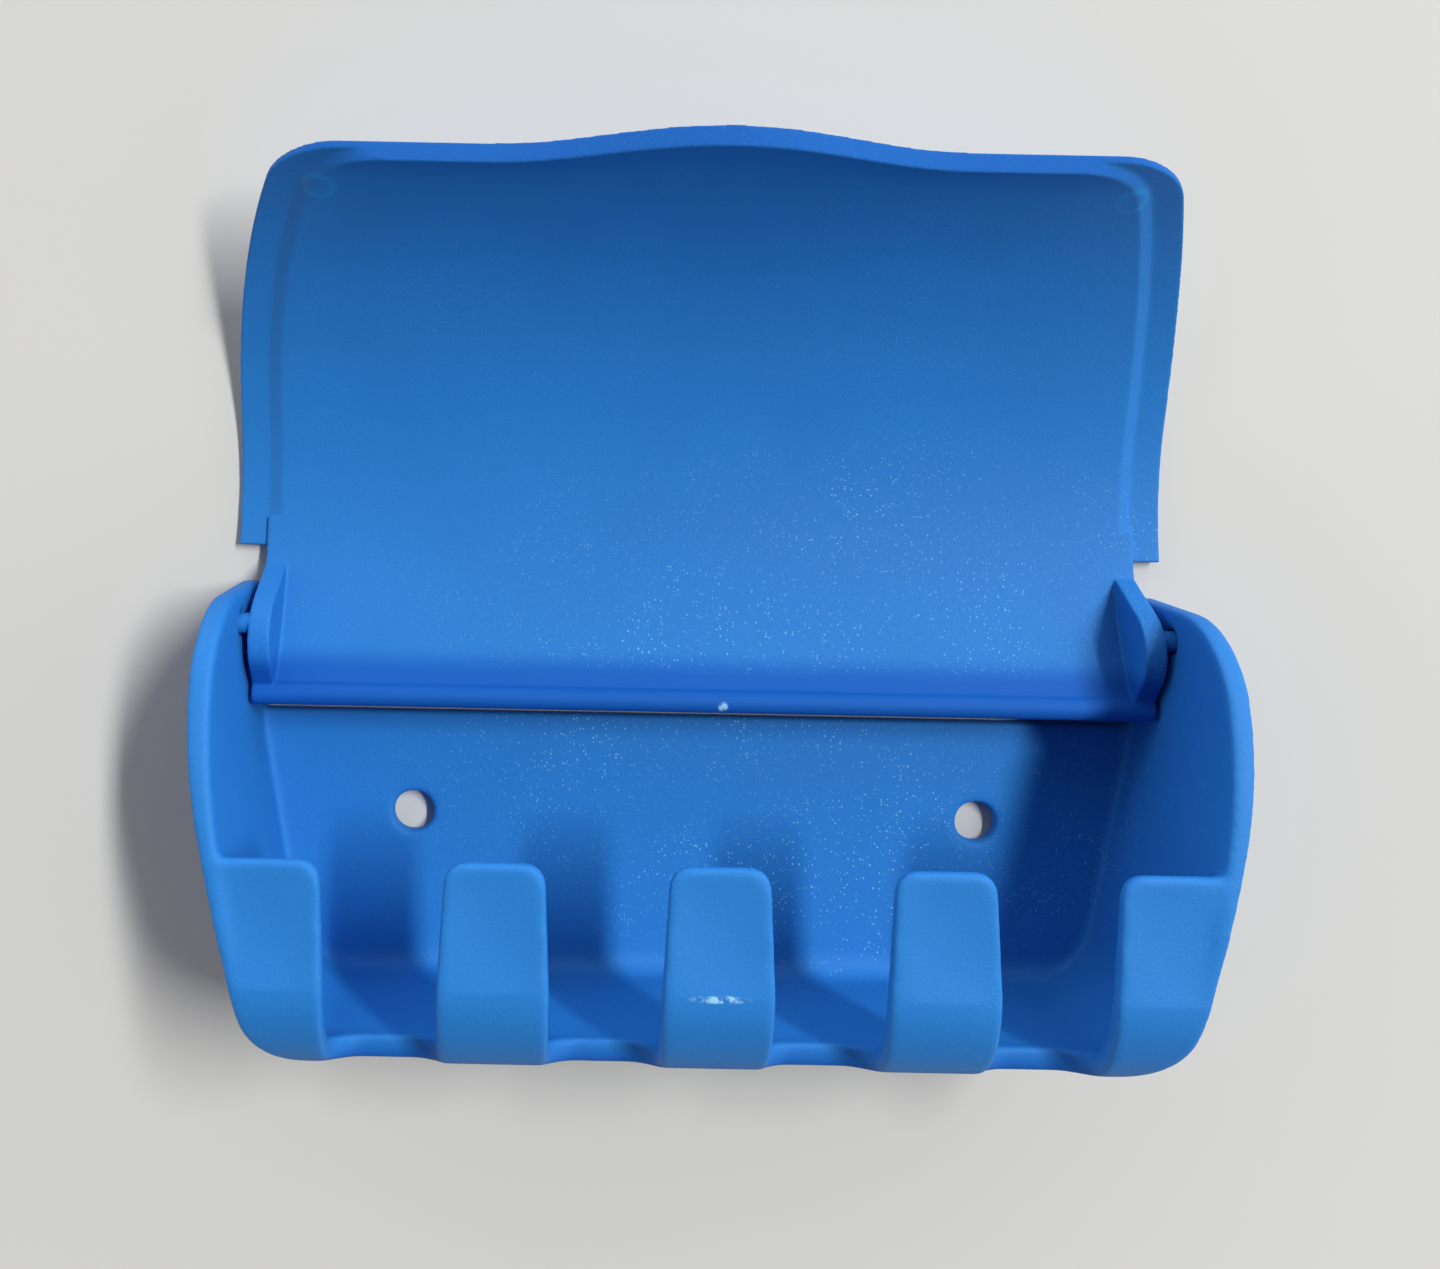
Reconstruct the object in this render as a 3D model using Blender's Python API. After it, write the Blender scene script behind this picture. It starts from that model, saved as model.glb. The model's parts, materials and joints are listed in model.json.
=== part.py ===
"""Toothbrush head holder: a wall tray with five fingers and a hinged lid.

The holder lies on its back, as on a table: the wall plane is Z = 0 and the
open side looks up +Z. +X is the holder's right and +Y its top end, where the
lid is hinged. The origin is on the wall plane, midway between the two screw
holes. The lid is modelled fully open, lying back on the wall plane. Its thumb
bump then stands as high as the body is deep, which sets the lid's length.
"""
import math

import bmesh
import bpy
from mathutils import Matrix

MM = 0.001

# Sizes of the holder body
OVERALL_WIDTH = 115.0 * MM
CHEEK_WALL = 2.7 * MM
PLATE_THICKNESS = 2.2 * MM
FLOOR_THICKNESS = 2.6 * MM
FRONT_THICKNESS = 2.4 * MM
BODY_DEPTH = 30.3 * MM
PLATE_LENGTH = 34.7 * MM
CHEEK_REACH = 15.3 * MM
SIDE_BOW_RADIUS = 75.0 * MM
SIDE_BOW_START = 11.1 * MM
SIDE_TAPER = math.radians(14.0)
INNER_BOW_EASE = 20.0 * MM
INNER_TAPER_EASE = math.radians(3.2)
FLOOR_CORNER_RADIUS = 10.5 * MM
RIM_RADIUS = 68.0 * MM
RIM_CREST = 19.0 * MM
END_CORNER_RADIUS = 13.2 * MM
BEND_START = 23.0 * MM
HINGE_SLIT = 0.4 * MM

# Screw holes
SCREW_SPACING = 70.0 * MM
SCREW_HOLE_DIAMETER = 5.0 * MM
SCREW_ROW = 12.9 * MM

# Fingers and the slots between them
SLOT_COUNT = 4
FINGER_PITCH = 23.65 * MM
FINGER_TIP_WIDTH = 10.8 * MM
FINGER_ROOT_WIDTH = 11.8 * MM
FINGER_TIP_DROP = 9.8 * MM
FINGER_TIP_RADIUS = 2.3 * MM
SLOT_DEPTH = 9.3 * MM
FINGER_SET_BACK = 0.7 * MM
SLOT_ROUND = 3.5 * MM

# Hinge
PIN_BEYOND_PLATE = 11.6 * MM
PIN_HEIGHT = 10.6 * MM
PIN_RADIUS = 1.2 * MM
PIN_CLEARANCE = 0.3 * MM
PIN_ENGAGEMENT = 1.4 * MM
SOCKET_DEPTH = 1.7 * MM
EAR_RADIUS = 5.2 * MM
EAR_ABOVE_PIN = 1.8 * MM
EAR_CREST = 1.9 * MM
EAR_THICKNESS = 2.6 * MM
EAR_PLAY = 0.9 * MM
EAR_START = 1.5 * MM
BEAD_RADIUS = 1.4 * MM
WALL_CLEARANCE = 0.3 * MM

# Lid
LID_RADIUS = 43.0 * MM
LID_TOUCH = 27.0 * MM
LID_THICKNESS = 1.8 * MM
LIP_THICKNESS = 2.5 * MM
LIP_SWELL_REACH = 5.0 * MM
RIM_BAND_THICKNESS = 1.0 * MM
RIM_BAND_STEP = 1.6 * MM
NOTCH_BEYOND_PLATE = 19.7 * MM
LID_BOW_RADIUS = 81.0 * MM
LID_BOW_START = 18.0 * MM
LIP_CORNER_RADIUS = 6.0 * MM
LIP_WAVE_HEIGHT = 4.5 * MM
LIP_WAVE_WIDTH = 52.0 * MM
LIP_WAVE_REACH = 16.0 * MM

# Places worked out from the sizes
HALF_WIDTH = OVERALL_WIDTH / 2
PLATE_TOP = SCREW_ROW
FLOOR_OUT = PLATE_TOP - PLATE_LENGTH
CHEEK_END = PLATE_TOP + CHEEK_REACH
FINGER_TIP = PLATE_TOP - FINGER_TIP_DROP
SLOT_FLOOR = BODY_DEPTH - SLOT_DEPTH
PIN_Y = PLATE_TOP + PIN_BEYOND_PLATE
RIM_BAND_WIDTH = CHEEK_WALL + EAR_PLAY
EAR_OUT = HALF_WIDTH - CHEEK_WALL - EAR_PLAY
LID_CENTRE_Y = PLATE_TOP + LID_TOUCH
NOTCH_ANGLE = math.asin((NOTCH_BEYOND_PLATE - LID_TOUCH) / LID_RADIUS)
LIP_ANGLE = math.acos((LID_RADIUS - BODY_DEPTH) / (LID_RADIUS - LIP_THICKNESS))
LID_LENGTH = (LIP_ANGLE - NOTCH_ANGLE) * LID_RADIUS - LIP_WAVE_HEIGHT
MARGIN = 4.0 * MM

# Fineness of the curved stretches
ARC_STEPS = 8
ROUND_STEPS = 24
LID_ROWS = 30
LID_COLUMNS = 20

BLUE = (0.005, 0.160, 0.600, 1.0)


def clear_scene():
    """Remove what the scene holds before the model is made."""
    for obj in list(bpy.data.objects):
        bpy.data.objects.remove(obj, do_unlink=True)


def plastic(name, colour):
    """Semi-gloss moulded plastic."""
    material = bpy.data.materials.new(name)
    material.use_nodes = True
    shader = material.node_tree.nodes["Principled BSDF"]
    shader.inputs["Base Color"].default_value = colour
    shader.inputs["Roughness"].default_value = 0.38
    shader.inputs["Metallic"].default_value = 0.0
    return material


def arc(centre, radius, start, end, steps=ARC_STEPS):
    """Points on an arc, angles in radians, both ends included."""
    points = []
    for step in range(steps + 1):
        angle = start + (end - start) * step / steps
        points.append((centre[0] + radius * math.cos(angle),
                       centre[1] + radius * math.sin(angle)))
    return points


def add_object(name, mesh_data, cutter=False):
    """Link a mesh as an object; a cutter stays out of the model."""
    obj = bpy.data.objects.new(name, mesh_data)
    bpy.context.scene.collection.objects.link(obj)
    if cutter:
        obj.hide_render = True
        obj.display_type = "WIRE"
    return obj


def prism(bm, outline, axis, low, high):
    """Add a closed prism to bm: a flat outline drawn out along one axis."""
    def place(first, second, along):
        if axis == "X":
            return (along, first, second)
        if axis == "Y":
            return (first, along, second)
        return (first, second, along)

    bottom = [bm.verts.new(place(a, b, low)) for a, b in outline]
    top = [bm.verts.new(place(a, b, high)) for a, b in outline]
    count = len(outline)
    bm.faces.new(bottom)
    bm.faces.new(top)
    for index in range(count):
        after = (index + 1) % count
        bm.faces.new((bottom[index], bottom[after], top[after], top[index]))


def prism_object(name, outlines, axis, low, high, cutter=True):
    """One object holding a prism for each outline."""
    bm = bmesh.new()
    for outline in outlines:
        prism(bm, outline, axis, low, high)
    bmesh.ops.recalc_face_normals(bm, faces=bm.faces)
    mesh_data = bpy.data.meshes.new(name)
    bm.to_mesh(mesh_data)
    bm.free()
    return add_object(name, mesh_data, cutter)


def combine(obj, other, operation):
    """Add an exact Boolean of obj with another object."""
    modifier = obj.modifiers.new(other.name, "BOOLEAN")
    modifier.operation = operation
    modifier.solver = "EXACT"
    modifier.object = other


def mirrored(points):
    """The same outline on the other side of X = 0, in the opposite order."""
    return [(-x, y) for x, y in reversed(points)]


def plan_side(half, bow, taper, floor_y, corner):
    """Half of a plan: a bow from the straight side, a straight taper, a round to the floor."""
    side = arc((half - bow, PLATE_TOP + SIDE_BOW_START), bow, 0.0, -taper)
    end_x, end_y = side[-1]
    corner_y = floor_y + corner
    drop = end_y + corner * math.sin(taper) - corner_y
    corner_x = end_x - drop * math.tan(taper) - corner * math.cos(taper)
    return side + arc((corner_x, corner_y), corner, -taper, -math.pi / 2)


def outer_side():
    """The body's right side and floor corner, outside."""
    return plan_side(HALF_WIDTH, SIDE_BOW_RADIUS, SIDE_TAPER, FLOOR_OUT, FLOOR_CORNER_RADIUS)


def inner_side():
    """The same inside: it draws in less, so the cheeks thin out towards the floor."""
    return plan_side(HALF_WIDTH - CHEEK_WALL, SIDE_BOW_RADIUS + INNER_BOW_EASE,
                     SIDE_TAPER - INNER_TAPER_EASE, FLOOR_OUT + FLOOR_THICKNESS,
                     FLOOR_CORNER_RADIUS - FLOOR_THICKNESS)


def plan_outline(side):
    """The whole plan from its right side, open past the cheeks' ends."""
    right = [(side[0][0], CHEEK_END + MARGIN)] + side
    return right + mirrored(right)


def side_outline():
    """The body's outer outline seen from the side, as (Y, Z)."""
    crest = PLATE_TOP - RIM_CREST
    rim_z = BODY_DEPTH - RIM_RADIUS
    corner_y = CHEEK_END - END_CORNER_RADIUS
    reach = RIM_RADIUS - END_CORNER_RADIUS
    corner_z = rim_z + math.sqrt(reach ** 2 - (corner_y - crest) ** 2)
    meeting = math.atan2(corner_z - rim_z, corner_y - crest)
    bend = PLATE_TOP - BEND_START
    radius = bend - FLOOR_OUT
    points = [(CHEEK_END, 0.0)]
    points += arc((corner_y, corner_z), END_CORNER_RADIUS, 0.0, meeting)
    points += arc((crest, rim_z), RIM_RADIUS, meeting, math.pi / 2)[1:]
    points += arc((bend, BODY_DEPTH - radius), radius, math.pi / 2, math.pi)
    points.append((FLOOR_OUT, 0.0))
    return points


def hollow_outline():
    """What is open inside the cheeks, seen from the side as (Y, Z).

    It runs past the plate's top edge, round the inside of the hollow, round the
    finger tips, and back over the finger faces, which slope below the rims.
    """
    bend = PLATE_TOP - BEND_START
    floor_in = FLOOR_OUT + FLOOR_THICKNESS
    front_in = BODY_DEPTH - FRONT_THICKNESS
    radius = bend - floor_in
    beyond = CHEEK_END + MARGIN
    edge = PLATE_TOP - HINGE_SLIT
    points = [(beyond, -MARGIN), (edge, -MARGIN), (edge, PLATE_THICKNESS)]
    points.append((floor_in, PLATE_THICKNESS))
    points += arc((bend, front_in - radius), radius, math.pi, math.pi / 2)
    points += [(FINGER_TIP, front_in), (FINGER_TIP, BODY_DEPTH - FINGER_SET_BACK)]
    points += [(bend, BODY_DEPTH), (bend, BODY_DEPTH + MARGIN), (beyond, BODY_DEPTH + MARGIN)]
    return points


def finger_flank(centre, side):
    """One flank of a finger, from its rounded tip corner down past the floor."""
    tip = FINGER_TIP_WIDTH / 2
    root = FINGER_ROOT_WIDTH / 2
    bend = PLATE_TOP - BEND_START
    corner = arc((tip - FINGER_TIP_RADIUS, FINGER_TIP - FINGER_TIP_RADIUS),
                 FINGER_TIP_RADIUS, math.pi / 2, 0.0, ARC_STEPS // 2)
    points = corner + [(root, bend), (root, FLOOR_OUT - MARGIN)]
    return [(centre + side * x, y) for x, y in points]


def finger_centres():
    """Centres of the fingers, one more than there are slots."""
    first = -FINGER_PITCH * SLOT_COUNT / 2
    return [first + FINGER_PITCH * index for index in range(SLOT_COUNT + 1)]


def comb_outline():
    """The slots cut from the front: one comb between the end fingers' middles."""
    centres = list(reversed(finger_centres()))
    points = [(centres[0], FINGER_TIP + MARGIN), (centres[0], FINGER_TIP)]
    for index, centre in enumerate(centres):
        if index > 0:
            points += list(reversed(finger_flank(centre, 1)))
        if index < SLOT_COUNT:
            points += finger_flank(centre, -1)
    return points + [(centres[-1], FINGER_TIP), (centres[-1], FINGER_TIP + MARGIN)]


def slot_outlines():
    """The slots' rounded bottoms in the floor, as (X, Z)."""
    half = (FINGER_PITCH - FINGER_ROOT_WIDTH) / 2
    flat = half - SLOT_ROUND
    outlines = []
    for centre in finger_centres()[:-1]:
        middle = centre + FINGER_PITCH / 2
        round_z = SLOT_FLOOR + SLOT_ROUND
        points = [(middle + half, BODY_DEPTH)]
        points += arc((middle + flat, round_z), SLOT_ROUND, 0.0, -math.pi / 2)
        points += arc((middle - flat, round_z), SLOT_ROUND, -math.pi / 2, -math.pi)
        points.append((middle - half, BODY_DEPTH))
        outlines.append(points)
    return outlines


def circle(centre, radius):
    """A round outline."""
    return arc(centre, radius, 0.0, 2 * math.pi, ROUND_STEPS)[:-1]


def make_body(material):
    """The one-piece body: back plate, cheeks, floor, front and fingers."""
    plan = plan_outline(outer_side())
    body = prism_object("holder_body", [plan], "Z", 0.0, BODY_DEPTH + MARGIN, cutter=False)
    profile = prism_object("body_profile", [side_outline()], "X", -HALF_WIDTH - MARGIN, HALF_WIDTH + MARGIN)
    combine(body, profile, "INTERSECT")

    inner = plan_outline(inner_side())
    hollow = prism_object("body_hollow", [inner], "Z", -MARGIN, BODY_DEPTH + MARGIN)
    inner_profile = prism_object("hollow_profile", [hollow_outline()], "X", -HALF_WIDTH, HALF_WIDTH)
    combine(hollow, inner_profile, "INTERSECT")
    combine(body, hollow, "DIFFERENCE")

    comb = prism_object("front_comb", [comb_outline()], "Z", SLOT_FLOOR + SLOT_ROUND, BODY_DEPTH + MARGIN)
    combine(body, comb, "DIFFERENCE")

    slots_low = FLOOR_OUT - MARGIN
    slots_high = PLATE_TOP - BEND_START
    slots = prism_object("slot_bottoms", slot_outlines(), "Y", slots_low, slots_high)
    combine(body, slots, "DIFFERENCE")

    places = (-SCREW_SPACING / 2, SCREW_SPACING / 2)
    rounds = [circle((x, 0.0), SCREW_HOLE_DIAMETER / 2) for x in places]
    screw_holes = prism_object("screw_holes", rounds, "Z", -MARGIN, PLATE_THICKNESS + MARGIN)
    combine(body, screw_holes, "DIFFERENCE")

    socket_out = HALF_WIDTH - CHEEK_WALL + SOCKET_DEPTH
    socket = circle((PIN_Y, PIN_HEIGHT), PIN_RADIUS + PIN_CLEARANCE)
    sockets = prism_object("hinge_sockets", [socket], "X", -socket_out, socket_out)
    combine(body, sockets, "DIFFERENCE")

    body.data.materials.append(material)
    return body


def on_lid(across, along, depth):
    """A point of the lid: across its width, along its arc, into its sheet."""
    angle = NOTCH_ANGLE + along / LID_RADIUS
    radius = LID_RADIUS - depth
    return (across,
            LID_CENTRE_Y + radius * math.sin(angle),
            LID_RADIUS - radius * math.cos(angle))


def bead_along():
    """Arc place of the hinge edge, where its bead just clears the wall plane."""
    middle = LID_RADIUS - LID_THICKNESS / 2
    reach = PIN_HEIGHT - WALL_CLEARANCE - BEAD_RADIUS
    to_y = PIN_Y - LID_CENTRE_Y
    to_z = PIN_HEIGHT - LID_RADIUS
    distance = math.hypot(to_y, to_z)
    cosine = (distance ** 2 + middle ** 2 - reach ** 2) / (2 * distance * middle)
    pin_angle = math.atan2(to_y, -to_z)
    angle = pin_angle - math.acos(cosine)
    return (angle - NOTCH_ANGLE) * LID_RADIUS


def lid_half_width(along):
    """Half the lid's width at a place along its arc past the notch."""
    half = HALF_WIDTH
    if along > LID_BOW_START:
        half -= (along - LID_BOW_START) ** 2 / (2 * LID_BOW_RADIUS)
    corner = min(along - (LID_LENGTH - LIP_CORNER_RADIUS), LIP_CORNER_RADIUS)
    if corner > 0.0:
        half -= LIP_CORNER_RADIUS - math.sqrt(LIP_CORNER_RADIUS ** 2 - corner ** 2)
    return half


def lip_wave(across, along):
    """How far the thumb bump in the lip pushes a point out along the arc."""
    if abs(across) > LIP_WAVE_WIDTH / 2:
        return 0.0
    bump = 0.5 + 0.5 * math.cos(2 * math.pi * across / LIP_WAVE_WIDTH)
    start = LID_LENGTH - LIP_WAVE_REACH
    share = max(0.0, (along - start) / LIP_WAVE_REACH)
    return LIP_WAVE_HEIGHT * bump * share ** 2


def sheet_depth(along):
    """Thickness of the sheet between its side bands: it swells towards the lip."""
    share = max(0.0, (along - LID_LENGTH + LIP_SWELL_REACH) / LIP_SWELL_REACH)
    return LID_THICKNESS + (LIP_THICKNESS - LID_THICKNESS) * share ** 2


def lid_rows():
    """Places along the arc: hinge edge, notch, body of the sheet, lip corner."""
    hinge = bead_along()
    narrow = [hinge * (1.0 - step / ARC_STEPS) for step in range(ARC_STEPS + 1)]
    straight_end = LID_LENGTH - LIP_CORNER_RADIUS
    main = [straight_end * step / LID_ROWS for step in range(1, LID_ROWS + 1)]
    corner = []
    for step in range(1, ARC_STEPS + 1):
        turn = step / ARC_STEPS * math.pi / 2
        corner.append(straight_end + LIP_CORNER_RADIUS * math.sin(turn))
    return narrow, main + corner


def lid_columns(half):
    """Places across the lid at one row: rim bands at the sides, sheet between."""
    inner = half - RIM_BAND_WIDTH
    sheet = inner - RIM_BAND_STEP
    middle = [-sheet + 2 * sheet * step / LID_COLUMNS for step in range(LID_COLUMNS + 1)]
    return [-half, -inner] + middle + [inner, half]


def make_sheet():
    """The lid's arched sheet, with thinner bands that lie on the cheek rims."""
    bm = bmesh.new()
    narrow, wide = lid_rows()
    rows = [(along, False) for along in narrow] + [(along, True) for along in wide]
    outer = []
    inner = []
    for along, is_wide in rows:
        half = lid_half_width(along) if is_wide else HALF_WIDTH
        outer_row = []
        inner_row = []
        for index, across in enumerate(lid_columns(half)):
            in_band = index < 2 or index > LID_COLUMNS + 2
            depth = RIM_BAND_THICKNESS if in_band else sheet_depth(along)
            place = along + lip_wave(across, along)
            outer_row.append(bm.verts.new(on_lid(across, place, 0.0)))
            inner_row.append(bm.verts.new(on_lid(across, place, depth)))
        outer.append(outer_row)
        inner.append(inner_row)
    last_column = LID_COLUMNS + 4
    notch_row = len(narrow) - 1

    def has_cell(row, column):
        if row < 0 or row >= len(rows) - 1 or column < 0 or column >= last_column:
            return False
        return row >= notch_row or 0 < column < last_column - 1

    for row in range(len(rows) - 1):
        for column in range(last_column):
            if not has_cell(row, column):
                continue
            a, b = (row, column), (row, column + 1)
            c, d = (row + 1, column + 1), (row + 1, column)
            bm.faces.new([outer[i][j] for i, j in (a, d, c, b)])
            bm.faces.new([inner[i][j] for i, j in (a, b, c, d)])
            edges = (((row - 1, column), a, b), ((row, column + 1), b, c),
                     ((row + 1, column), c, d), ((row, column - 1), d, a))
            for neighbour, start, end in edges:
                if not has_cell(*neighbour):
                    bm.faces.new((outer[start[0]][start[1]], outer[end[0]][end[1]],
                                  inner[end[0]][end[1]], inner[start[0]][start[1]]))
    loose = [vertex for vertex in bm.verts if not vertex.link_faces]
    bmesh.ops.delete(bm, geom=loose, context="VERTS")
    bmesh.ops.recalc_face_normals(bm, faces=bm.faces)
    mesh_data = bpy.data.meshes.new("hinged_lid")
    bm.to_mesh(mesh_data)
    bm.free()
    return mesh_data


def tangent_angle(point, centre, radius, side):
    """Angle on a circle where the line from a point touches it."""
    towards = math.atan2(point[1] - centre[1], point[0] - centre[0])
    distance = math.hypot(point[0] - centre[0], point[1] - centre[1])
    return towards + side * math.acos(radius / distance)


def ear_outline():
    """The hinge ear seen from the side: a leaf from the notch over the pin to the bead."""
    centre = (PIN_Y - EAR_CREST, PIN_HEIGHT + EAR_ABOVE_PIN - EAR_RADIUS)
    middle = LID_THICKNESS / 2
    hinge = bead_along()
    start = on_lid(0.0, -EAR_START, middle)[1:]
    bead = on_lid(0.0, hinge, middle)[1:]
    first = tangent_angle(start, centre, EAR_RADIUS, 1)
    last = tangent_angle(bead, centre, EAR_RADIUS, -1)
    if last < first:
        last += 2 * math.pi
    points = [start] + arc(centre, EAR_RADIUS, first, last)
    for step in range(ARC_STEPS):
        along = hinge + (-EAR_START - hinge) * step / ARC_STEPS
        points.append(on_lid(0.0, along, middle)[1:])
    return points


def make_lid(material):
    """The lid: arched sheet, two ears with pins, and the bead at the hinge edge."""
    lid = add_object("hinged_lid", make_sheet())
    lid.data.transform(Matrix.Translation((0.0, -PIN_Y, -PIN_HEIGHT)))
    lid.location = (0.0, PIN_Y, PIN_HEIGHT)

    for side, name in ((-1, "left"), (1, "right")):
        low, high = sorted((side * EAR_OUT, side * (EAR_OUT - EAR_THICKNESS)))
        ear = prism_object(f"{name}_ear", [ear_outline()], "X", low, high)
        combine(lid, ear, "UNION")
        pin_out = HALF_WIDTH - CHEEK_WALL + PIN_ENGAGEMENT
        low, high = sorted((side * (EAR_OUT - EAR_THICKNESS / 2), side * pin_out))
        pin = prism_object(f"{name}_pin", [circle((PIN_Y, PIN_HEIGHT), PIN_RADIUS)], "X", low, high)
        combine(lid, pin, "UNION")

    bead_place = on_lid(0.0, bead_along(), LID_THICKNESS / 2)[1:]
    bead = prism_object("hinge_bead", [circle(bead_place, BEAD_RADIUS)], "X", -EAR_OUT, EAR_OUT)
    combine(lid, bead, "UNION")
    lid.data.materials.append(material)
    return lid


def main():
    clear_scene()
    make_body(plastic("body_blue_plastic", BLUE))
    make_lid(plastic("lid_blue_plastic", BLUE))


if __name__ == "__main__":
    main()
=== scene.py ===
"""Toothbrush head holder: two mouldings in blue plastic, dressed for a studio render.

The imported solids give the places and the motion. The body and the lid are made
again here with their soft edges, swollen lip and moulded grain, and each one
rides on the body of the frame that it stands for.
"""
import json
import math
from functools import partial

import bmesh
import bpy
import numpy as np
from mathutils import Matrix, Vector


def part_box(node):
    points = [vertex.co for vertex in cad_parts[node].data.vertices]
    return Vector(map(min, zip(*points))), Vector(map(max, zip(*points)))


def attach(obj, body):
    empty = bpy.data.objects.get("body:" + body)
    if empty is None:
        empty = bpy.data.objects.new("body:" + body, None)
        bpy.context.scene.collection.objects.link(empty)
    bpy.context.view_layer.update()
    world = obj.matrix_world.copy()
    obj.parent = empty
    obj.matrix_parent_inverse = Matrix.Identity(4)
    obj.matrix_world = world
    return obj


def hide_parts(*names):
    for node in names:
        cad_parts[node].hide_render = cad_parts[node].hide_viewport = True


bl_info = {
    "name": "Toothbrush Head Holder",
    "version": (1, 0, 0),
    "blender": (4, 5, 0),
    "location": "View3D > Sidebar > Brush Holder",
    "description": "Builds a wall tray for brush heads with its hinged lid, plastic and studio",
    "category": "Object",
}

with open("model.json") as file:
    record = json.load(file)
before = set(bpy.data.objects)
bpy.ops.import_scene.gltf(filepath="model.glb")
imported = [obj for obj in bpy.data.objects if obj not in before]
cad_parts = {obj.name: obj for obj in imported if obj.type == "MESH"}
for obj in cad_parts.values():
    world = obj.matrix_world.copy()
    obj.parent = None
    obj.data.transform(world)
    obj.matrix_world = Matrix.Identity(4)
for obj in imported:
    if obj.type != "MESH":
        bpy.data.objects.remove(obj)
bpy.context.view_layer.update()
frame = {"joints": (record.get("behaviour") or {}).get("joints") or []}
TRAY_LOW, TRAY_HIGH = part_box("holder_body")
HINGE = Vector(frame["joints"][0]["pos_m"])

MM = 0.001
PHOTO_WIDTH = 1440
PHOTO_HEIGHT = 1269
MARGIN = 4.0 * MM
MOST_TRIANGLES = 190000

SMALL_ARC_STEPS = 8
ARC_STEPS = 16
LONG_ARC_STEPS = 32
HINGE_EDGE_STEPS = 48
CIRCLE_STEPS = 64
LID_FACETS = 201
LID_CORNER_SHARE = 0.08
LID_MIDDLE_SHARE = 0.9
LID_SHARPER = 10
FACET_FILL = 0.97
SMOOTH_FACTOR = 0.5
# The settings of the lid that its arched sheet takes as they are.
SHEET_SIZES = ("radius", "thickness", "lip_thickness", "lip_swell", "band", "band_thickness",
               "band_step", "bow_start", "bow_radius", "corner", "wave_height", "wave_width",
               "wave_reach")
# The Mix node's sockets for colours: share, first and second, and the result.
MIX_INPUTS = (0, 6, 7)
MIX_RESULT = 2

GRAIN_DETAIL = 2.0
GRAIN_ROUGHNESS = 0.6
GRAIN_STRENGTH = 0.4
GRAIN_DEPTH = 0.08 * MM
# Glints: grain cells that get bumps, shine and a painted highlight colour.
GLINT_CELLS = 0.85
GLINT_SHARE = 0.42
GLINT_LEAST = 0.15
GLINT_SPREAD = 0.33
GLINT_ELSEWHERE = 0.12
GLINT_HEIGHT = 2.0
GLINT_SHINE = 0.35
PATCH_SCALE = 60.0
PATCH_DETAIL = 3.0
PATCH_SPAN = (0.42, 0.62)
PATCH_LEAST = 0.25
NEAR_FULL = 0.55
DEEP_SHARE = 0.86
# Paler edges: partly wear, partly a painted highlight along convex edges.
WEAR_AND_HIGHLIGHT_SPAN = (0.05, 3.0)
WEAR_AND_HIGHLIGHT_MOST = 0.05
SCRATCH_SCALE = 1400.0
SCRATCH_DETAIL = 3.0
SCRATCH_SPAN = (0.38, 0.56)
ROUGH_SPAN = (0.3, 0.7)
ROUGH_CHANGES = (-0.05, 0.07)
PLASTIC_IOR = 1.49
PLASTIC_SPECULAR = 0.26
LIP_ROUGHNESS = 0.25
# Share of painted shade on the lip's outward face.
LIP_PAINTED_SHADE_MIX = 0.8
# The smooth strip by the hinge: no grain and its own roughness, with a deeper blue that is painted shade.
STRIP_TOP = 18.4 * MM
STRIP_FADE = 3.2 * MM
STRIP_ROUGHNESS = 0.72
BEAD_TOP = 14.2 * MM
BEAD_FADE = 0.6 * MM
BEAD_ROUGHNESS = 0.28

# Places where the lamp's highlight falls, where the painted glints gather most.
PLATE_SPARKLE = ((14.0 * MM, 2.4 * MM, 2.2 * MM), (56.0 * MM, 26.0 * MM, 14.0 * MM))
LID_SPARKLE = ((26.0 * MM, 25.0 * MM, 4.0 * MM), (66.0 * MM, 26.0 * MM, 20.0 * MM))
SCUFF_REACH = (3.7 * MM, 0.5 * MM, 0.9 * MM)
SCUFF_PAST_BEND = 0.1 * MM
SCUFF_SINK = 0.15 * MM
GATE_REACH = (0.7 * MM, 0.9 * MM, 0.7 * MM)
GATE_ACROSS = 2.3 * MM
GATE_DROP = 0.5 * MM
RING_ACROSS = 45.0 * MM
RING_FROM_LIP = 6.0 * MM
RING_RADIUS = 2.3 * MM
RING_INNER = 0.82
RING_MIX = 0.8

TABLE_REACH = 1.2
TABLE_DROP = 0.05 * MM
TABLE_ROUGHNESS = 0.9
CLOUD_SCALE = 9.0
CLOUD_DETAIL = 4.0
CLOUD_SHADE = 0.955
# The lamp's place and shape are in parts of its height over the table.
LAMP_HEIGHT = 2.4
LAMP_PLACE = (0.60, 0.42, 1.0)
LAMP_WIDTH = 0.11
LAMP_LENGTH = 0.72
LAMP_POWER = 107.0
SKY_COLOUR = (0.98, 0.93, 1.0, 1.0)
SENSOR_WIDTH = 36.0
CLIP_START = 0.01


def length(name, description, default):
    """A size in metres for a panel."""
    return bpy.props.FloatProperty(name=name, description=description, default=default,
                                   min=0.0, unit="LENGTH", precision=5)


def number(name, description, default):
    """A plain number for a panel."""
    return bpy.props.FloatProperty(name=name, description=description, default=default)


def angle(name, description, degrees):
    """An angle for a panel, given in degrees."""
    return bpy.props.FloatProperty(name=name, description=description,
                                   default=math.radians(degrees), subtype="ANGLE")


def colour(name, description, default):
    """A colour for a panel."""
    return bpy.props.FloatVectorProperty(name=name, description=description, default=default,
                                         subtype="COLOR", size=4, min=0.0, max=1.0)


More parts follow.
